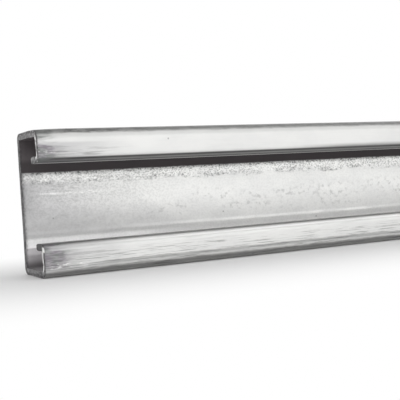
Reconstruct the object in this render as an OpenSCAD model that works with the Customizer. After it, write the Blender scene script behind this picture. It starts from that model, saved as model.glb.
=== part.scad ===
// Shallow strut channel: one strip of galvanised steel, roll-formed into a
// C-section with two inturned lips along an open slot. It lies on one flange
// with the slot facing -Y. X runs along the channel, and the origin is in the
// middle of the face that it rests on. All sizes are in millimetres.

/* [Section] */
// Width across the web, outside to outside
channel_width = 41.275; // [36:0.005:84]
// Depth from the back of the web to the front of the lips
channel_depth = 20.64; // [14:0.01:84]
// Clear width of the slot between the lips
slot_width = 22.225; // [10:0.005:28]
// Reach of each inturned lip behind the front of the channel
lip_depth = 7.14; // [4:0.01:12]

/* [Sheet] */
// Thickness of the strip
sheet_t = 1.9; // [1:0.05:3]
// Inside radius of the two bends between the web and the flanges
web_bend_r = 0.2; // [0.1:0.1:4]
// Inside radius of the two bends between the flanges and the lip faces
front_bend_r = 1.4; // [0.1:0.1:4]
// Inside radius of the two bends where the lips turn in
lip_bend_r = 0.2; // [0.1:0.1:3]
// Edge rounding left on the lips where the strip was slit
lip_edge_r = 0.6; // [0.1:0.05:0.9]

/* [Length] */
// Length of the piece
channel_length = 609.6; // [150:0.1:6096]

/* [Hidden] */
$fn = 64;

web_bend_out_r = web_bend_r + sheet_t;
front_bend_out_r = front_bend_r + sheet_t;
lip_bend_out_r = lip_bend_r + sheet_t;

// Lengths of strip between the bends, from the middle of the web to a lip's edge
web_half_flat = channel_width / 2 - web_bend_out_r;
flange_flat = channel_depth - web_bend_out_r - front_bend_out_r;
lip_face_flat = (channel_width - slot_width) / 2 - front_bend_out_r - lip_bend_out_r;
lip_flat = lip_depth - lip_bend_out_r - lip_edge_r;

// The strip is laid down along +X with its outside face on y = 0. Each stretch
// draws itself and then carries its children to its own far end.

// A straight stretch of strip
module flat(run) {
    square([run, sheet_t]);
    translate([run, 0]) children();
}

// A quarter turn of the strip towards its inside face
module bend(inside_r) {
    outside_r = inside_r + sheet_t;
    translate([0, outside_r]) intersection() {
        difference() {
            circle(outside_r);
            circle(inside_r);
        }
        translate([0, -outside_r]) square(outside_r);
    }
    translate([outside_r, outside_r]) rotate(90) children();
}

// The slit edge of the strip, with both of its corners rounded
module slit_edge() {
    translate([0, lip_edge_r]) square([lip_edge_r, sheet_t - 2 * lip_edge_r]);
    for (y = [lip_edge_r, sheet_t - lip_edge_r])
        translate([0, y]) intersection() {
            circle(lip_edge_r);
            translate([0, -lip_edge_r]) square([lip_edge_r, 2 * lip_edge_r]);
        }
}

// Half of the section, from the middle of the web round to one lip's edge
module half_section() {
    flat(web_half_flat) bend(web_bend_r)
    flat(flange_flat) bend(front_bend_r)
    flat(lip_face_flat) bend(lip_bend_r)
    flat(lip_flat) slit_edge();
}

// The whole section, with the web upright on the right and the slot on the left
module section() {
    for (side = [0, 1])
        translate([channel_depth / 2, channel_width / 2])
            mirror([0, side]) rotate(90) half_section();
}

module channel() {
    color("gainsboro")
        rotate([90, 0, 90])
            linear_extrude(height = channel_length, center = true)
                section();
}

channel();
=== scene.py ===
"""Dresses the strut channel: a fine mesh of its strip, the galvanised finish, and the studio it lies in."""
import math

import bmesh
import bpy
from mathutils import Matrix, Vector, noise


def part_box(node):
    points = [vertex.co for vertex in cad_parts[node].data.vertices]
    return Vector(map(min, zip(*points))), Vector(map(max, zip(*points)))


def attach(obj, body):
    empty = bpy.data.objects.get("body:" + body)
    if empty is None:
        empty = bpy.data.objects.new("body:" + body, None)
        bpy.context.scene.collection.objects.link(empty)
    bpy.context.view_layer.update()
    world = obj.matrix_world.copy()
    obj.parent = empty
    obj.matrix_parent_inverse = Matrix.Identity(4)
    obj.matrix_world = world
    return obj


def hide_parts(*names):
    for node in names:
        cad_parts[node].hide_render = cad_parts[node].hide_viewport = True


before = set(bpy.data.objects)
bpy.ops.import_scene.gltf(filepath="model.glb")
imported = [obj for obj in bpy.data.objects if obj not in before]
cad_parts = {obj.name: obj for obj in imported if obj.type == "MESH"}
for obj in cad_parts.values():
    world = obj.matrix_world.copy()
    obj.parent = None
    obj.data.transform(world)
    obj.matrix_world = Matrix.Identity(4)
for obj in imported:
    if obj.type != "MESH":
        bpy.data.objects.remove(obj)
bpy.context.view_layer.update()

MM = 0.001
LOW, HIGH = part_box("channel")
LENGTH = HIGH.x - LOW.x
DEPTH = HIGH.y - LOW.y
WIDTH = HIGH.z - LOW.z
MIDDLE = (LOW + HIGH) / 2

# Section of the strip
SHEET = 1.9 * MM
WEB_BEND_R = 0.2 * MM
FRONT_BEND_R = 1.4 * MM
LIP_BEND_R = 0.2 * MM
LIP_EDGE_R = 0.6 * MM
LIP_DEPTH = 7.14 * MM
SLOT_WIDTH = 22.225 * MM
WEB_BEND_OUT_R = WEB_BEND_R + SHEET
FRONT_BEND_OUT_R = FRONT_BEND_R + SHEET
LIP_BEND_OUT_R = LIP_BEND_R + SHEET

# Fineness of the mesh
BEND_STEPS = 12
EDGE_STEPS = 5
FLAT_STEP = 1.6 * MM
LONG_STEP = 4.0 * MM
END_STEPS = [step * MM for step in (0.0, 0.14, 0.3, 0.55, 0.9, 1.5, 2.4, 3.8, 6.0)]
CUT_STEPS = 4
SHARP_ANGLE = math.radians(35)

# Waviness of the rolled sheet
WAVE = 0.06 * MM
WAVE_LENGTH = 70.0 * MM
WAVE_WIDTH = 28.0 * MM

# Worn edge, burr and wander of a sawn end, and the grain of each
CUT_NOISE_PLACE = 7.3
CUT_CHAMFER = 0.10 * MM
CUT_CHAMFER_SPREAD = 0.10 * MM
CUT_CHAMFER_LEAST = 0.03 * MM
CUT_CHAMFER_GRAIN = 1.7 * MM
BURR = 0.12 * MM
BURR_BIAS = 0.35
BURR_GRAIN = 2.3 * MM
BURR_RING = 1
CUT_WANDER = 0.10 * MM
CUT_WANDER_GRAIN = 7.0 * MM

# How far the upper front bend is pressed down at the ends
PRESS = 0.35 * MM
PRESS_REACH = 9.0 * MM

# The bake's map
MAP_GAP = 4.0 * MM
CUT_MAP_SCALE = 3.5


class Strip:
    """Half of the section as it is rolled: pairs of outside and inside points (y, z), from the web on."""

    def __init__(self, start, heading, inward):
        self.place = Vector(start)
        self.heading = Vector(heading)
        self.inward = Vector(inward)
        self.pairs = []
        self.lay(self.place, self.inward)

    def lay(self, outside, inward, inset=0.0, bent=0.0):
        """Adds one pair of points through the sheet."""
        self.pairs.append((outside + inward * inset, outside + inward * (SHEET - inset), bent))

    def flat(self, run):
        """Lays a flat stretch."""
        steps = max(1, round(run / FLAT_STEP))
        for k in range(1, steps + 1):
            self.lay(self.place + self.heading * (run * k / steps), self.inward)
        self.place = self.place + self.heading * run

    def bend(self, inside_r):
        """Lays a quarter turn inwards."""
        outside_r = inside_r + SHEET
        centre = self.place + self.inward * outside_r
        heading, inward = self.heading, self.inward
        for k in range(1, BEND_STEPS + 1):
            turn = math.pi / 2 * k / BEND_STEPS
            toward = inward * math.cos(turn) - heading * math.sin(turn)
            self.lay(centre - toward * outside_r, toward, bent=math.sin(2 * turn))
        self.heading, self.inward = inward, -heading
        self.place = centre + heading * outside_r

    def slit_edge(self):
        """Rounds off the edge of the strip."""
        for k in range(1, EDGE_STEPS + 1):
            turn = math.pi / 2 * k / EDGE_STEPS
            ahead = self.heading * (LIP_EDGE_R * math.sin(turn))
            self.lay(self.place + ahead, self.inward, LIP_EDGE_R * (1 - math.cos(turn)))


def section_pairs():
    """Pairs of outside and inside points round the section, from the lower lip's edge to the upper's."""
    strip = Strip((HIGH.y, MIDDLE.z), (0, 1), (-1, 0))
    strip.flat(WIDTH / 2 - WEB_BEND_OUT_R)
    strip.bend(WEB_BEND_R)
    strip.flat(DEPTH - WEB_BEND_OUT_R - FRONT_BEND_OUT_R)
    strip.bend(FRONT_BEND_R)
    strip.flat((WIDTH - SLOT_WIDTH) / 2 - FRONT_BEND_OUT_R - LIP_BEND_OUT_R)
    strip.bend(LIP_BEND_R)
    strip.flat(LIP_DEPTH - LIP_BEND_OUT_R - LIP_EDGE_R)
    strip.slit_edge()
    upper = strip.pairs
    lower = [(flipped(outside), flipped(inside), bent) for outside, inside, bent in upper[1:]]
    return lower[::-1] + upper


def flipped(point):
    """The same point of the other half of the section."""
    return Vector((point.x, 2 * MIDDLE.z - point.y))


def stations():
    """Places along the channel where a ring of points lies: close together near the ends, one halfway."""
    half = LENGTH / 2 - END_STEPS[-1]
    count = round(half / LONG_STEP)
    left = END_STEPS + [END_STEPS[-1] + half * k / count for k in range(1, count)]
    return [LOW.x + step for step in left] + [MIDDLE.x] + [HIGH.x - step for step in reversed(left)]


def wave(x, place):
    """How far the rolled sheet lies inside its true surface at a point."""
    at = Vector((x / WAVE_LENGTH, place.x / WAVE_WIDTH, place.y / WAVE_WIDTH))
    return WAVE * (0.5 + 0.5 * noise.noise(at))


def end_noise(x, place, grain):
    """Noise across a sawn end, different at each end."""
    return noise.noise(Vector((math.copysign(CUT_NOISE_PLACE, x), place.x / grain, place.y / grain)))


def chamfer(x, place):
    """Width of the worn edge round a sawn end at a point of the section."""
    width = CUT_CHAMFER + CUT_CHAMFER_SPREAD * end_noise(x, place, CUT_CHAMFER_GRAIN)
    return max(CUT_CHAMFER_LEAST, width)


def burr(x, place):
    """Height of the burr that the saw left on the inside of an end."""
    return BURR * max(0.0, BURR_BIAS + end_noise(x, place, BURR_GRAIN))


def from_nearest_end(x):
    """Distance along the channel to its nearest end."""
    return LENGTH / 2 - abs(x - MIDDLE.x)


def end_set_back(x, place):
    """How far the saw wandered inwards at a point of the section, fading out along the channel."""
    fade = max(0.0, 1 - from_nearest_end(x) / END_STEPS[-1])
    toward_middle = math.copysign(1, MIDDLE.x - x)
    return toward_middle * fade * CUT_WANDER * (0.5 + 0.5 * end_noise(x, place, CUT_WANDER_GRAIN))


def pressed_down(x, place):
    """How far the upper front bend is pressed down at an end, fading out along and across the channel."""
    from_corner = (place - Vector((LOW.y, HIGH.z))).length
    along = max(0.0, 1 - from_nearest_end(x) / PRESS_REACH)
    across = max(0.0, 1 - from_corner / PRESS_REACH)
    return PRESS * along ** 2 * across


class ChannelMesh:
    """The channel as one closed mesh, with a map for bakes and marks for bent and inside points."""

    def __init__(self):
        self.pairs = section_pairs()
        self.xs = stations()
        self.bm = bmesh.new()
        self.bent = self.bm.verts.layers.float.new("bent")
        self.inside = self.bm.verts.layers.float.new("inside")
        self.uv = self.bm.loops.layers.uv.new("OFBake")
        self.rings = [self.ring(i, x) for i, x in enumerate(self.xs)]
        self.around = self.lengths_around()
        self.map_side = 2 * self.around[-1] + 3 * MAP_GAP
        self.skin()
        for end in (0, -1):
            self.cut_face(end)

    def ring(self, i, x):
        """One ring of points: the outside from lip to lip, then the inside back again."""
        from_cut = min(i, len(self.xs) - 1 - i)
        outer, inner = [], []
        for outside, inside, bent in self.pairs:
            through = (inside - outside).normalized()
            inset = wave(x, outside)
            worn = chamfer(x, outside) if from_cut == 0 else 0.0
            raised = burr(x, inside) if from_cut == BURR_RING else 0.0
            at = x + end_set_back(x, outside)
            down = Vector((0.0, -pressed_down(x, outside)))
            outer.append(self.point(at, outside + down + through * (inset + worn), bent, 0.0))
            inner.append(self.point(at, inside + down + through * (inset - worn + raised), bent, 1.0))
        return outer + inner[::-1]

    def point(self, x, place, bent, inside):
        """One point of the mesh with its marks."""
        vert = self.bm.verts.new((x, place.x, place.y))
        vert[self.bent] = bent
        vert[self.inside] = inside
        return vert

    def lengths_around(self):
        """Distance round the section to each point of a ring, and back to the first."""
        ring = self.rings[len(self.rings) // 2]
        total = [0.0]
        for a, b in zip(ring, ring[1:] + ring[:1]):
            total.append(total[-1] + (b.co - a.co).length)
        return total

    def face(self, rows, i, j, mapped):
        """One face between two rows of points, with its corners laid on the bake's map."""
        corners = [(i, j), (i, j + 1), (i + 1, j + 1), (i + 1, j)]
        face = self.bm.faces.new([rows[r][c % len(rows[r])] for r, c in corners])
        for loop, (r, c) in zip(face.loops, corners):
            loop[self.uv].uv = mapped(r, c)

    def skin(self):
        """Faces between the rings, all the way round."""
        for i in range(len(self.rings) - 1):
            right_half = self.xs[i] >= MIDDLE.x
            for j in range(len(self.rings[i])):
                self.face(self.rings, i, j, lambda r, c: self.unrolled(r, c, right_half))

    def unrolled(self, r, c, right_half):
        """Place on the bake's map: the two halves of the channel lie side by side, unrolled."""
        column = self.around[c] + (self.around[-1] + MAP_GAP) * right_half
        row = self.xs[r] - (MIDDLE.x if right_half else LOW.x)
        return (MAP_GAP + column) / self.map_side, (MAP_GAP + row) / self.map_side

    def cut_face(self, end):
        """Closes a sawn end with rows of faces across the sheet."""
        count = len(self.pairs)
        ring = self.rings[end]
        outer, inner = ring[:count], ring[count:][::-1]
        rows = [outer]
        for k in range(1, CUT_STEPS):
            rows.append([self.across(a, b, k / CUT_STEPS) for a, b in zip(outer, inner)])
        rows.append(inner)
        for k in range(CUT_STEPS):
            for j in range(count - 1):
                self.face(rows, k, j, lambda r, c: self.cut_unrolled(r, c, end))

    def across(self, outer, inner, share):
        """A point part of the way through the sheet."""
        place = outer.co.lerp(inner.co, share)
        return self.point(place.x, Vector((place.y, place.z)), 0.0, share)

    def cut_unrolled(self, r, c, end):
        """Place of a sawn end on the bake's map: a strip above the unrolled halves, drawn larger."""
        row = LENGTH / 2 + 3 * MAP_GAP - end * (SHEET * CUT_MAP_SCALE + MAP_GAP)
        across = SHEET * r / CUT_STEPS * CUT_MAP_SCALE
        column = MAP_GAP + self.around[c] * CUT_MAP_SCALE
        return column / self.map_side, (row + across) / self.map_side

    def finish(self):
        """The finished mesh, smooth except at its sharp edges."""
        bmesh.ops.recalc_face_normals(self.bm, faces=self.bm.faces)
        mesh = bpy.data.meshes.new("strut_channel")
        self.bm.to_mesh(mesh)
        self.bm.free()
        mesh.polygons.foreach_set("use_smooth", [True] * len(mesh.polygons))
        mesh.set_sharp_from_angle(angle=SHARP_ANGLE)
        return mesh


class Nodes:
    """Short calls that add nodes to the tree of a material or a world."""

    def __init__(self, owner):
        owner.use_nodes = True
        self.tree = owner.node_tree

    def named(self, name):
        """A node that the tree already has."""
        return self.tree.nodes[name]

    def add(self, kind, **settings):
        """A new node."""
        node = self.tree.nodes.new("ShaderNode" + kind)
        for name, value in settings.items():
            setattr(node, name, value)
        return node

    def put(self, socket, value):
        """Gives an input what it takes: the output of another node, or a constant."""
        if isinstance(value, Value):
            self.tree.links.new(value.socket, socket)
        else:
            socket.default_value = value

    def fill(self, node, inputs):
        """Gives several inputs of a node what they take, by name or by number."""
        for key, value in inputs.items():
            self.put(node.inputs[key], value)

    def output(self, node, key=0):
        """What comes out of a node."""
        return Value(self, node.outputs[key])

    def math(self, operation, a, b):
        """One sum on two numbers."""
        node = self.add("Math", operation=operation)
        self.fill(node, {0: a, 1: b})
        return self.output(node)

    def vector_math(self, operation, a, b=(0.0, 0.0, 0.0)):
        """One sum on vectors."""
        node = self.add("VectorMath", operation=operation)
        self.fill(node, {0: a, 1: b})
        return self.output(node)

    def grown(self, vector, by):
        """A vector, or a colour, times a number."""
        node = self.add("VectorMath", operation="SCALE")
        self.fill(node, {0: vector, "Scale": by})
        return self.output(node)

    def upright(self, height):
        """A vector straight up."""
        node = self.add("CombineXYZ")
        self.fill(node, {"Z": height})
        return self.output(node)

    def split(self, vector):
        """The x, y and z of a vector."""
        node = self.add("SeparateXYZ")
        self.fill(node, {0: vector})
        return [self.output(node, key) for key in "XYZ"]

    def red(self, colour):
        """The first part of a colour."""
        node = self.add("SeparateColor")
        self.fill(node, {0: colour})
        return self.output(node)


class Value:
    """A number or a colour that nodes work out. Numbers are written in plain arithmetic."""

    def __init__(self, nodes, socket):
        self.nodes = nodes
        self.socket = socket

    def __add__(self, other):
        return self.nodes.math("ADD", self, other)

    def __mul__(self, other):
        return self.nodes.math("MULTIPLY", self, other)

    def __sub__(self, other):
        return self.nodes.math("SUBTRACT", self, other)

    def __rsub__(self, other):
        return self.nodes.math("SUBTRACT", other, self)

    def __abs__(self):
        return self.nodes.math("ABSOLUTE", self, 0.0)

    __radd__ = __add__
    __rmul__ = __mul__

    def step(self, low, high, start=0.0, end=1.0):
        """A smooth step: the start up to the low limit, and the end past the high one."""
        node = self.nodes.add("MapRange", interpolation_type="SMOOTHSTEP")
        limits = {"From Min": low, "From Max": high, "To Min": start, "To Max": end}
        self.nodes.fill(node, {"Value": self, **limits})
        return self.nodes.output(node)

    def fall(self, low, high, start=1.0):
        """A smooth step down to none."""
        return self.step(low, high, start, 0.0)

    def band(self, low, high, soft):
        """One between two limits, and none outside them."""
        return self.step(low - soft, low + soft) * self.fall(high - soft, high + soft)

    def uneven(self, amount, pattern):
        """The same value, moved up and down by a noise pattern."""
        return self + amount * (pattern - 0.5)


def most(value, *others):
    """The largest of some values."""
    for other in others:
        value = value.nodes.math("MAXIMUM", value, other)
    return value


def mix(share, one, other):
    """A colour between two others."""
    node = share.nodes.add("Mix", data_type="RGBA")
    share.nodes.fill(node, {0: share, 6: one, 7: other})
    return share.nodes.output(node, 2)


# Where the web's inside begins and the front's outside ends, across the section in millimetres
WEB_FROM = (6.8, 7.8)
FRONT_UP_TO = (-8.0, -7.0)


class Surface:
    """Where a point of the channel lies, in millimetres, and which stretch of the strip it is on."""

    def __init__(self, nodes):
        self.nodes = nodes
        place = nodes.output(nodes.add("TexCoord"), "Object")
        self.place = nodes.vector_math("MULTIPLY", place, (1 / MM,) * 3)
        x, self.y, self.z = nodes.split(self.place)
        self.from_end = LENGTH / 2 / MM - abs(x - MIDDLE.x / MM)
        self.inside = self.mark("inside")
        self.bent = self.mark("bent")
        self.web = self.inside * self.y.step(*WEB_FROM)
        self.front = (1.0 - self.inside) * self.y.fall(*FRONT_UP_TO)

    def mark(self, name):
        """One of the marks that the mesh carries."""
        return self.nodes.output(self.nodes.add("Attribute", attribute_name=name), "Fac")

    def scaled(self, x, y, z):
        """The place, with x, y and z millimetres counted as one."""
        return self.nodes.vector_math("MULTIPLY", self.place, (1 / x, 1 / y, 1 / z))

    def noise(self, x, y, z, detail=2.0, rough=0.5, shift=0.0):
        """Noise whose grains are x, y and z millimetres across."""
        place = self.scaled(x, y, z)
        if shift:
            place = self.nodes.vector_math("ADD", place, (shift,) * 3)
        node = self.nodes.add("TexNoise")
        self.nodes.fill(node, {"Vector": place, "Scale": 1.0, "Detail": detail, "Roughness": rough})
        return self.nodes.output(node)

    def crystals(self, x, y, z):
        """Cells x, y and z millimetres across: a random colour for each, and distance from its middle."""
        node = self.nodes.add("TexVoronoi")
        self.nodes.fill(node, {"Vector": self.scaled(x, y, z), "Scale": 1.0})
        return self.nodes.output(node, "Color"), self.nodes.output(node, "Distance")


# Colours of the zinc, of what lies on it, of painted shade and of the bare steel
ZINC = (0.855, 0.855, 0.840, 1.0)
ZINC_CLOUDED = (0.825, 0.826, 0.815, 1.0)
# grey near the sawn ends: partly a veil of smudges, partly painted shade
VEIL_AND_SHADE = (0.545, 0.542, 0.550, 1.0)
GRIME_PURPLE = (0.262, 0.242, 0.266, 1.0)
GRIME_GREEN = (0.232, 0.244, 0.235, 1.0)
NICK = (0.92, 0.92, 0.91, 1.0)
DIRT = (0.085, 0.082, 0.086, 1.0)
# painted shade, tinted purple, low down inside the lower pocket
LOW_POCKET_SHADE = (0.790, 0.762, 0.785, 1.0)
# painted shade in the pockets behind the lips, lighter near the ends in the upper one
POCKET_SHADE_COLOUR = (0.098, 0.088, 0.091, 1.0)
POCKET_SHADE_AT_ENDS = (0.190, 0.172, 0.178, 1.0)
SAWN = (0.20, 0.196, 0.198, 1.0)
SAWN_LINED = (0.14, 0.137, 0.139, 1.0)
SAWN_DARK = (0.035, 0.033, 0.035, 1.0)
BURR_BRIGHT = (0.88, 0.88, 0.87, 1.0)

# Strength of the finish as a whole
VEIL_AND_SHADE_SHARE = 0.85
VEIL_AND_SHADE_WANDER = 16.0
SAWN_DARKENING_SHARE = 0.85
ROUGHNESS = 0.50
BUMP_STRENGTH = 0.35
BUMP_DISTANCE = 0.02 * MM


# Stretches of the strip, by their heights in millimetres
def below_shadow(at):
    """The web below the shadow of the upper lip."""
    return at.web * at.z.fall(29.5, 29.9)


def low_web(at):
    """The lower part of the web, most of all near the ends."""
    return at.web * at.z.band(10.6, 17.0, 3.5) * at.from_end.step(15.0, 60.0, 1.7, 1.0)


def clean_web(at):
    """The upper part of the web, away from the ends."""
    return at.web * at.z.step(15.0, 20.0) * at.from_end.step(30.0, 60.0)


def upper_lip(at):
    """The front of the upper lip."""
    return at.front * at.z.step(30.0, 34.0)


def lower_lip(at):
    """The front of the lower lip."""
    return at.front * at.z.fall(12.0, 16.0)


def lip_bends(at):
    """The bends along the foot of the upper lip and the top of the lower one."""
    return at.front * (at.z.band(7.8, 9.8, 0.4) + at.z.band(31.4, 33.4, 0.4))


def lower_return_top(at):
    """The top of the lower lip's return, behind its bend."""
    height = at.z.step(9.25, 9.42) * at.z.fall(9.7, 9.9)
    return (1.0 - at.inside) * height * at.y.fall(-3.0, -1.0)


# Marks on the web
def band_foot(at, amount):
    """Height up the section, made uneven for the foot of the bright band."""
    return at.z.uneven(amount, at.noise(9, 4, 3, detail=3.0, rough=0.6, shift=4.7))


def bright_band(at):
    """The brighter zinc along the web under the upper lip."""
    return below_shadow(at) * band_foot(at, 1.6).step(25.9, 26.9)


def grains(at):
    """Dark crystals in the bright band: thinly spread, clumped along its foot, crowded at its top."""
    patches = at.noise(21, 9, 11, shift=3.1).step(0.28, 0.46, 0.40, 1.0)
    near_end = at.from_end.fall(26.0, 55.0, 0.5)
    crowd = most(patches, near_end) * at.from_end.step(20.0, 50.0, 0.75, 1.0)
    fine = at.noise(0.62, 0.55, 0.46, rough=0.7).step(0.46, 0.62)
    level = band_foot(at, 3.0)
    spread = 0.40 * level.step(25.6, 26.8) * crowd * fine
    clump = at.noise(2.4, 1.3, 1.0, detail=3.0, rough=0.7, shift=8.2).step(0.46, 0.60)
    clumps = 0.70 * level.band(25.8, 27.6, 0.4) * crowd * clump * (0.34 + 0.66 * fine)
    ragged = at.z.uneven(2.2, at.noise(1.5, 0.9, 0.8, detail=3.0, rough=0.65, shift=2.2))
    brink = 0.85 * ragged.step(28.2, 29.4) * (0.45 + 0.55 * fine)
    return below_shadow(at) * most(spread, clumps, brink)


def fine_grain(at):
    """Fine grain of the zinc everywhere but on the front, stronger on the web near the ends."""
    fine = at.noise(0.7, 0.65, 0.6, rough=0.65, shift=1.9).step(0.40, 0.66)
    near_end = at.web * at.z.step(14.0, 23.0) * at.from_end.fall(25.0, 60.0)
    return fine * (1.0 - at.front) * (1.0 + 2.0 * near_end)


def rubs(at):
    """Thin bright rub marks along the web, near the ends."""
    height = at.z.uneven(0.5, at.noise(12, 6, 6, shift=7.1))
    lines = height.band(23.0, 23.6, 0.22) + 0.6 * height.band(27.2, 27.5, 0.2)
    broken = at.noise(5, 1, 0.8, detail=3.0, rough=0.6, shift=3.7).step(0.42, 0.56)
    return at.web * lines * broken * at.from_end.band(5.0, 24.0, 4.0)


def smears(at):
    """Faint dark smears along the web, near the ends and below the bright band."""
    marks = at.noise(4.5, 1.2, 0.6, detail=3.0, rough=0.65, shift=3.9).step(0.50, 0.62)
    return at.web * marks * at.z.band(24.0, 25.8, 0.6) * at.from_end.band(8.0, 24.0, 4.0)


def mottles(at):
    """Soft grey spots, a millimetre or two across, in loose groups on the web."""
    groups = at.noise(17, 10, 6, shift=5.5).step(0.34, 0.60)
    where = at.from_end.step(25.0, 60.0, 0.35, 1.0) * at.z.band(13.5, 22.0, 2.5)
    spots = at.noise(1.5, 1.4, 1.25, rough=0.55, shift=2.7).step(0.49, 0.70)
    return at.web * groups * where * spots


def blotches(at):
    """Faint grey blotches on the web near the ends."""
    where = at.web * at.z.band(12.5, 24.5, 1.5) * at.from_end.fall(20.0, 50.0)
    return where * at.noise(2.4, 1.7, 1.5, detail=3.0, rough=0.65, shift=9.2).step(0.44, 0.62)


def end_shade(at):
    """A soft shade on the web that deepens towards the sawn ends."""
    wide = 0.22 * at.z.band(17.0, 28.0, 2.5) * at.from_end.fall(0.0, 7.0)
    close = at.from_end.fall(0.2, 1.5, 0.22)
    return at.web * (wide + close)


def roll_track(at):
    """The inner roll's track along the foot of the web: a light line and a grey band under it, and below
    that painted light on the web's foot near the ends.
    """
    level = at.z.uneven(0.9, at.noise(26, 8, 8, shift=6.6))
    height = level + at.from_end.step(15.0, 120.0, -0.45, 0.15)
    broken = at.noise(7, 5, 5, detail=3.0, shift=9.5).step(0.34, 0.58, 0.35, 1.0)
    line = height.band(11.1, 11.9, 0.3) * broken * at.from_end.step(25.0, 75.0, 0.30, 1.0)
    # painted light on the web's foot near the ends
    foot = 1.6 * at.z.band(5.5, 10.1, 0.6) * at.from_end.fall(15.0, 65.0)
    light = at.web * (line + foot)
    dark = at.web * height.band(9.5, 10.9, 0.35) * at.from_end.step(15.0, 40.0, 0.1, 1.2)
    return light, dark


# Marks on the lips
def painted_lip_highlight(at):
    """A painted highlight along the crest of the lower lip, fainter near the ends."""
    return at.front * at.z.band(8.4, 9.05, 0.2) * at.from_end.step(10.0, 35.0, 0.45, 1.0)


def streaks(at):
    """Dashes that the rolls left along the strip: on the lower lip, the back and the upper lip's ends."""
    marks = at.noise(10, 0.28, 0.24, detail=3.0, rough=0.6, shift=0.4).step(0.53, 0.63)
    on_lower = lower_lip(at) * at.z.step(5.6, 7.0, 1.0, 0.25)
    on_upper = at.front * at.z.band(33.3, 35.8, 0.5) * at.from_end.fall(10.0, 30.0)
    on_back = 0.6 * (1.0 - at.inside) * (1.0 - at.front)
    return marks * (0.06 + 1.2 * on_lower + 1.2 * on_upper + on_back)


def nicks(at):
    """Small bright nicks near the ends of the lips, where the smudged zinc was scraped."""
    spots = at.noise(1.7, 0.7, 0.6, shift=6.3).step(0.50, 0.72, 0.0, 0.8)
    low = at.z.band(2.5, 3.9, 0.3) * at.from_end.fall(10.0, 14.0)
    high = at.z.band(34.0, 35.2, 0.3) * at.from_end.fall(3.5, 6.0, 0.8)
    return at.front * spots * (low + high)


def wavy_height(at, amount, shift):
    """Height up the section, made uneven along the channel."""
    return at.z.uneven(amount, at.noise(6, 3, 3, detail=3.0, rough=0.6, shift=shift))


def low_bend_shade(at, edge):
    """Painted shade on the bottom bend of the front: along its brink, away from the ends, and where it
    turns under.
    """
    brink = 0.33 * edge.band(2.75, 3.6, 0.15) * at.from_end.step(12.0, 20.0)
    lowered = edge + at.from_end.fall(5.0, 25.0, 0.25)
    turned_under = lowered.fall(1.5, 2.4, 0.62) * at.z.step(0.4, 1.2, 0.55, 1.0)
    return brink + turned_under


def high_bend_shade(at, edge):
    """Painted shade on the top bend of the front, with blots most near the ends."""
    blots = at.noise(3.5, 1.1, 0.9, detail=3.0, rough=0.65, shift=6.9).step(0.42, 0.60)
    shade_with_blots = 0.33 + 0.30 * blots * at.from_end.step(8.0, 45.0, 1.0, 0.45)
    return edge.step(39.4, 40.1) * shade_with_blots


def lip_foot_shade(at):
    """Painted shade on the bend under the upper lip, with a line along it, and on the lip's foot far from
    the ends.
    """
    line = 0.32 * at.z.band(32.48, 32.92, 0.1)
    under = line + at.z.fall(32.98, 33.20, 0.50) + at.z.fall(31.90, 32.00, 0.28)
    foot = at.z.step(32.95, 33.10) * at.z.fall(33.1, 34.5, 0.42) * at.from_end.step(78.0, 108.0)
    return (under + foot) * at.z.step(25.0, 30.0)


def bend_shade(at):
    """Painted shade on the front bends and under the upper lip."""
    edge = wavy_height(at, 0.8, 8.8)
    return at.front * (low_bend_shade(at, edge) + high_bend_shade(at, edge) + lip_foot_shade(at))


# Marks all over, what lies on the zinc, and painted shade in the pockets
def specks(at):
    """Sparse dark pits."""
    colour, from_middle = at.crystals(3.4, 3.4, 3.4)
    chosen = at.nodes.red(colour).step(0.88, 0.90)
    return chosen * from_middle.fall(0.05, 0.11)


def lip_veil_and_shade(at, patches):
    """The veil and painted shade on the lips, thin on their outer bends."""
    reach = at.from_end.uneven(VEIL_AND_SHADE_WANDER, patches)
    clear = at.z.step(3.0, 6.5, 0.25, 1.0) * at.z.step(36.8, 37.6, 1.0, 0.2)
    return at.front * reach.fall(2.0, 30.0, 0.9) * clear


def web_veil_and_shade(at, patches):
    """The veil and painted shade on the web: they reach further low down, and are thinner at the web's foot
    and top.
    """
    slanted = at.from_end * at.z.step(13.0, 24.0, 0.65, 1.45)
    reach = slanted.uneven(VEIL_AND_SHADE_WANDER, patches)
    track = 1.0 - 0.25 * at.z.band(9.6, 10.6, 0.5)
    foot = at.z.step(6.8, 8.2, 0.5, 1.0) * at.z.step(13.0, 19.0, 0.8, 1.0) * track
    top = at.z.step(26.0, 27.8, 1.0, 0.3)
    return at.web * reach.fall(-4.0, 50.0) * foot * top


def end_veil_and_shade(at):
    """A thin grey veil of smudges and painted shade that fade in towards the sawn ends."""
    patches = at.noise(9, 5, 4, detail=3.0, shift=1.7)
    return most(lip_veil_and_shade(at, patches), web_veil_and_shade(at, patches))


def end_grime(at):
    """Dark smudges close to the sawn ends, most on the lips: a blotted core and a thinner trail."""
    lip_tops = at.z.band(36.6, 38.6, 0.6) + at.z.band(7.6, 9.0, 0.3)
    reach = at.from_end + 5.0 * lip_tops + at.z.step(15.0, 25.0, -2.0, 0.0)
    blotted = reach.uneven(6.0, at.noise(3.2, 1.8, 1.5, detail=3.0, rough=0.65, shift=5.2))
    trailing = reach.uneven(22.0, at.noise(8, 0.9, 0.6, detail=3.0, rough=0.6, shift=2.4))
    smudge = most(blotted.fall(3.0, 6.2), trailing.fall(3.0, 11.0, 0.42))
    rubbed = at.noise(2.4, 0.45, 0.38, shift=1.3).step(0.36, 0.62, 1.0, 0.62)
    bends = at.z.step(1.5, 3.6, 0.1, 1.0) * at.z.step(38.6, 39.4, 1.0, 0.6)
    patchy = most(at.front, at.noise(7, 7, 7, shift=8.5).step(0.42, 0.58, 0.2, 1.0))
    return (1.0 - at.web) * smudge * rubbed * bends * patchy


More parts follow.
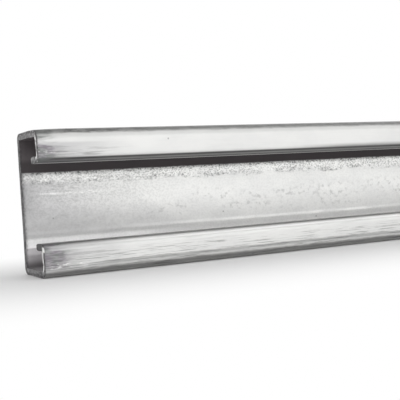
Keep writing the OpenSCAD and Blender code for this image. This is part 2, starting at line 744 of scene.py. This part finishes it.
def cut_dirt(at):
    """Dark dirt in a narrow, dotted line beside the sawn ends."""
    dots = at.noise(0.9, 0.9, 0.9, detail=3.0, rough=0.65, shift=4.9)
    line = at.from_end.uneven(2.0, dots).fall(0.30, 0.80, 0.75)
    return line * (1.0 - 0.75 * at.front) * (1.0 - 0.4 * at.web)


def pocket_shade(at):
    """Painted shade in the pockets behind the lips, heavier in the upper one."""
    edge = wavy_height(at, 0.4, 2.9)
    behind = at.inside * at.y.step(-7.9, -7.0)
    return behind * (edge.step(29.45, 29.85) + edge.fall(2.2, 4.8, 0.75))


# The sawn ends
def sawn_face(at):
    """One on the sawn ends and their worn edges."""
    return at.from_end.fall(0.13, 0.26)


def saw_lines(at):
    """The fine lines that the saw left."""
    return at.noise(1, 0.9, 0.14, shift=4.4)


def web_cut(at):
    """The cut through the web."""
    return at.y.step(7.9, 8.6)


def lower_lip_cut(at):
    """The cut through the bend of the lower lip, behind its outer edge."""
    return at.z.band(7.4, 9.8, 0.3) * at.y.step(-8.7, -8.0)


def sawn_darkening(at):
    """Darker places on the cuts: spots, a worn outer edge, the lower lip's bend and the upper web."""
    spots = at.noise(1, 1.3, 1.3, detail=3.0, rough=0.65, shift=7.7).step(0.44, 0.58)
    worn = at.noise(1, 0.9, 0.9, shift=5.9).step(0.38, 0.52)
    behind_lips = at.y.step(-8.4, -7.8, 0.25, 1.0)
    outer_edge = at.inside.fall(0.25, 0.55) * worn * behind_lips
    web = web_cut(at) * at.z.step(27.0, 30.0, 0.25, 1.0)
    return most(spots, outer_edge, lower_lip_cut(at), web)


def sawn_burrs(at):
    """Bright burrs on the cuts: along the lips' inner edge, in flecks, and on the lower lip's corner."""
    lips = at.y.step(-8.2, -7.4, 1.0, 0.12)
    broken = at.noise(1, 0.9, 1.3, shift=6.1).step(0.38, 0.54)
    inner_edge = at.inside.step(0.30, 0.62) * broken * lips
    flecks = 0.35 * at.noise(1, 0.8, 0.8, rough=0.6, shift=3.3).step(0.56, 0.66)
    corner = 0.9 * at.z.band(7.3, 8.7, 0.2) * at.y.fall(-8.9, -8.5)
    web = web_cut(at) * at.z.step(28.5, 30.5, 1.0, 0.35)
    return most(inner_edge, flecks, corner) * (1.0 - most(lower_lip_cut(at), web))


def sawn_colour(at):
    """Bare steel with saw lines, darker places and bright burrs."""
    lined = mix(saw_lines(at).step(0.3, 0.7), SAWN, SAWN_LINED)
    darkened = mix(SAWN_DARKENING_SHARE * sawn_darkening(at), lined, SAWN_DARK)
    return mix(sawn_burrs(at), darkened, BURR_BRIGHT)


# The finish as a whole
def zinc_shade(at, band, light_track, dark_track):
    """How much of the zinc's own lightness is left at a point."""
    gains = [
        # the light line of the roll's track, with painted light on the web's foot near the ends
        (0.11, light_track),
        (0.30, rubs(at)),
        (0.14, band),
        (0.04, clean_web(at)),
        # painted highlight along the crest of the lower lip
        (0.33, painted_lip_highlight(at)),
    ]
    losses = [
        (1.00, grains(at)),
        (0.23, mottles(at)),
        (0.24, smears(at)),
        (0.06, blotches(at)),
        (1.00, end_shade(at)),
        (0.50, lower_return_top(at)),
        (0.06, fine_grain(at)),
        # painted shade on the lower web, most near the ends
        (0.09, low_web(at)),
        (0.04, dark_track),
        (0.34, streaks(at)),
        # painted shade on the upper and lower lips
        (0.15, upper_lip(at)),
        (0.10, lower_lip(at)),
        # painted shade on the front bends and under the upper lip
        (1.00, bend_shade(at)),
        (0.40, specks(at)),
    ]
    left = 1.0
    for amount, where in gains:
        left = left + amount * where
    for amount, where in losses:
        left = left * (1.0 - amount * where)
    return left


def zinc_colour(at, clouds, shade):
    """Clouded zinc, with a veil and painted shade near the ends, shaded, and with painted shade tinted
    purple low down inside.
    """
    # a grey veil of smudges with painted shade near the ends
    veiled_and_shaded = mix(VEIL_AND_SHADE_SHARE * end_veil_and_shade(at), mix(clouds, ZINC_CLOUDED, ZINC), VEIL_AND_SHADE)
    # painted shade, tinted purple, low down inside
    in_pocket = at.inside * at.z.fall(7.0, 8.6, 0.8)
    return mix(in_pocket, at.nodes.grown(veiled_and_shaded, shade), LOW_POCKET_SHADE)


def dirty_and_shaded_colour(at, zinc, grime):
    """The zinc with painted shade in the pockets, grime scraped off in nicks, and dirt beside the cuts."""
    thin = at.z.step(32.0, 34.5) * at.from_end.fall(2.0, 10.0)
    # painted shade in the pockets behind the lips
    pocket_shaded = mix(pocket_shade(at), zinc, mix(thin, POCKET_SHADE_COLOUR, POCKET_SHADE_AT_ENDS))
    smudge = mix(at.noise(6, 4, 4).step(0.42, 0.58), GRIME_PURPLE, GRIME_GREEN)
    nicked = mix(nicks(at), mix(grime, pocket_shaded, smudge), NICK)
    return mix(cut_dirt(at), nicked, DIRT)


def roughness(at, clouds, grime):
    """Smoother on the outer bends, but rougher on the lips' bends, and duller under grime."""
    bends = at.bent * (1.0 - at.inside) * (0.28 * lip_bends(at) - 0.13)
    return ROUGHNESS - 0.02 * clouds + 0.06 * grime + bends


def relief(at, grime, sawn):
    """Small heights for bump: the sheet's orange peel, the marks along it, saw lines and grime."""
    peel = at.noise(1.6, 1.6, 1.6, detail=3.0)
    marks = at.noise(20, 0.3, 0.3, detail=3.0, shift=0.4)
    return 0.45 * peel + 0.35 * marks + 2.5 * sawn * saw_lines(at) + 0.4 * grime


def leaning_normal(at, band, light_track, dark_track):
    """The surface's normal, tilted a little by each crystal, the bright band and the roll's track."""
    nodes = at.nodes
    colour, _ = at.crystals(0.95, 0.75, 0.75)
    random = nodes.vector_math("SUBTRACT", colour, (0.5, 0.5, 0.5))
    by_crystal = nodes.grown(random, 0.03 + 0.04 * band)
    upward = nodes.upright(0.075 * light_track - 0.012 * dark_track + 0.05 * band)
    lean = nodes.vector_math("ADD", by_crystal, upward)
    normal = nodes.output(nodes.add("NewGeometry"), "Normal")
    return nodes.vector_math("NORMALIZE", nodes.vector_math("ADD", normal, lean))


def galvanised_steel():
    """Mill-galvanised sheet with crystals, roll marks, smudged ends and bare sawn cuts."""
    material = bpy.data.materials.new("galvanised_steel")
    nodes = Nodes(material)
    at = Surface(nodes)
    clouds = at.noise(11, 7, 6, detail=4.0, rough=0.6).step(0.34, 0.62)
    band = bright_band(at)
    track = roll_track(at)
    grime = end_grime(at)
    sawn = sawn_face(at)
    zinc = zinc_colour(at, clouds, zinc_shade(at, band, *track))
    bump = nodes.add("Bump")
    nodes.fill(bump, {
        "Strength": BUMP_STRENGTH,
        "Distance": BUMP_DISTANCE,
        "Height": relief(at, grime, sawn),
        "Normal": leaning_normal(at, band, *track),
    })
    nodes.fill(nodes.named("Principled BSDF"), {
        "Base Color": mix(sawn, dirty_and_shaded_colour(at, zinc, grime), sawn_colour(at)),
        "Roughness": roughness(at, clouds, grime),
        "Metallic": 1.0,
        "Normal": nodes.output(bump),
    })
    return material


def linked(name, data):
    """A new object in the scene."""
    thing = bpy.data.objects.new(name, data)
    bpy.context.scene.collection.objects.link(thing)
    return thing


def make_channel():
    """The channel, which stands for the solid of the same name."""
    mesh = ChannelMesh().finish()
    mesh.materials.append(galvanised_steel())
    piece = linked("strut_channel", mesh)
    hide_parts("channel")
    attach(piece, "root")


# The camera, placed from the channel's left end, its front and the floor
CAMERA_FROM_CORNER = Vector((-60.733, -210.679, 23.008)) * MM
CAMERA_YAW = math.radians(27.44)
CAMERA_PITCH = math.radians(-1.05)
CAMERA_ROLL = math.radians(-3.50)
CAMERA_LENS = 71.318
CAMERA_SENSOR = 36.0
CAMERA_CLIP = (0.01, 100.0)


def make_camera():
    """The camera, which looks along the channel from beyond its left end."""
    forward = Vector((
        math.sin(CAMERA_YAW) * math.cos(CAMERA_PITCH),
        math.cos(CAMERA_YAW) * math.cos(CAMERA_PITCH),
        math.sin(CAMERA_PITCH),
    ))
    right = forward.cross(Vector((0, 0, 1))).normalized()
    up = right.cross(forward)
    across = right * math.cos(CAMERA_ROLL) + up * math.sin(CAMERA_ROLL)
    upward = up * math.cos(CAMERA_ROLL) - right * math.sin(CAMERA_ROLL)
    turn = Matrix((across, upward, -forward)).transposed()
    data = bpy.data.cameras.new("camera")
    data.sensor_width = CAMERA_SENSOR
    data.lens = CAMERA_LENS
    data.clip_start, data.clip_end = CAMERA_CLIP
    camera = linked("camera", data)
    camera.matrix_world = Matrix.Translation(LOW + CAMERA_FROM_CORNER) @ turn.to_4x4()
    bpy.context.scene.camera = camera


# The floor, which is white by a distance from the channel
FLOOR_HALF = 40.0
FLOOR_COLOUR = (0.90, 0.90, 0.90, 1.0)
FLOOR_ROUGHNESS = 0.6
WHITE_FROM = 0.0
WHITE_BY = 0.085


def floor_material():
    """Pale beside the channel, where it takes the shadow, and plain white further off."""
    material = bpy.data.materials.new("floor")
    nodes = Nodes(material)
    shader = nodes.named("Principled BSDF")
    nodes.fill(shader, {"Base Color": FLOOR_COLOUR, "Roughness": FLOOR_ROUGHNESS})
    x, y, _ = nodes.split(nodes.output(nodes.add("TexCoord"), "Object"))
    reach = most(abs(x) - LENGTH / 2, abs(y))
    white = nodes.output(nodes.add("Emission"))
    blend = nodes.add("MixShader")
    nodes.fill(blend, {0: reach.step(WHITE_FROM, WHITE_BY), 1: nodes.output(shader), 2: white})
    nodes.fill(nodes.named("Material Output"), {"Surface": nodes.output(blend)})
    return material


def make_floor():
    """A pale floor that keeps the channel's shadow and turns white away from it."""
    mesh = bpy.data.meshes.new("floor")
    corners = [(-1, -1), (1, -1), (1, 1), (-1, 1)]
    mesh.from_pydata([(FLOOR_HALF * x, FLOOR_HALF * y, LOW.z) for x, y in corners], [], [(0, 1, 2, 3)])
    mesh.materials.append(floor_material())
    floor = linked("floor", mesh)


# The world, by how far a direction points up and to the back
WHITE = (1.0, 1.0, 1.0, 1.0)
OVERHEAD = (0.45, 0.45, 0.45, 1.0)
OVERHEAD_UP = (0.50, 0.66)
OVERHEAD_BACK = (-0.25, 0.05)
FRONT_DARK = (0.03, 0.03, 0.03, 1.0)
FRONT_DARK_UP = (0.20, 0.26)
FRONT_DARK_BACK = (-0.60, -0.30)


def make_world():
    """White all round, grey overhead and high up behind, and dark in a low band in front."""
    world = bpy.data.worlds.new("studio")
    bpy.context.scene.world = world
    nodes = Nodes(world)
    _, back, up = nodes.split(nodes.output(nodes.add("TexCoord"), "Generated"))
    overhead = up.step(*OVERHEAD_UP) * back.step(*OVERHEAD_BACK)
    front_dark = up.fall(*FRONT_DARK_UP) * back.fall(*FRONT_DARK_BACK)
    colour = mix(front_dark, mix(overhead, WHITE, OVERHEAD), FRONT_DARK)
    nodes.fill(nodes.named("Background"), {"Color": colour})


# The light bar
BAR_AIM_RIGHT = 0.1
BAR_AIM_BELOW_TOP = 10.0 * MM
BAR_DISTANCE = 1.2
BAR_SLOPE = math.radians(7.8)
BAR_LENGTH = 3.2
BAR_THICKNESS = 0.03
BAR_RADIANCE = 19.6


def make_lights():
    """A long light bar in front, low enough for the upper lip to throw a narrow shadow on the web."""
    data = bpy.data.lights.new("bar", "AREA")
    data.shape = "RECTANGLE"
    data.size = BAR_LENGTH
    data.size_y = BAR_THICKNESS
    data.energy = BAR_RADIANCE * math.pi * BAR_LENGTH * BAR_THICKNESS
    aim = Vector((MIDDLE.x + BAR_AIM_RIGHT, LOW.y, HIGH.z - BAR_AIM_BELOW_TOP))
    bar = linked("bar", data)
    bar.location = aim + Vector((0, -BAR_DISTANCE, BAR_DISTANCE * math.tan(BAR_SLOPE)))
    bar.rotation_euler = (aim - bar.location).to_track_quat("-Z", "Y").to_euler()


make_camera()
make_channel()
make_floor()
make_world()
make_lights()
bpy.context.scene.view_settings.view_transform = "Standard"
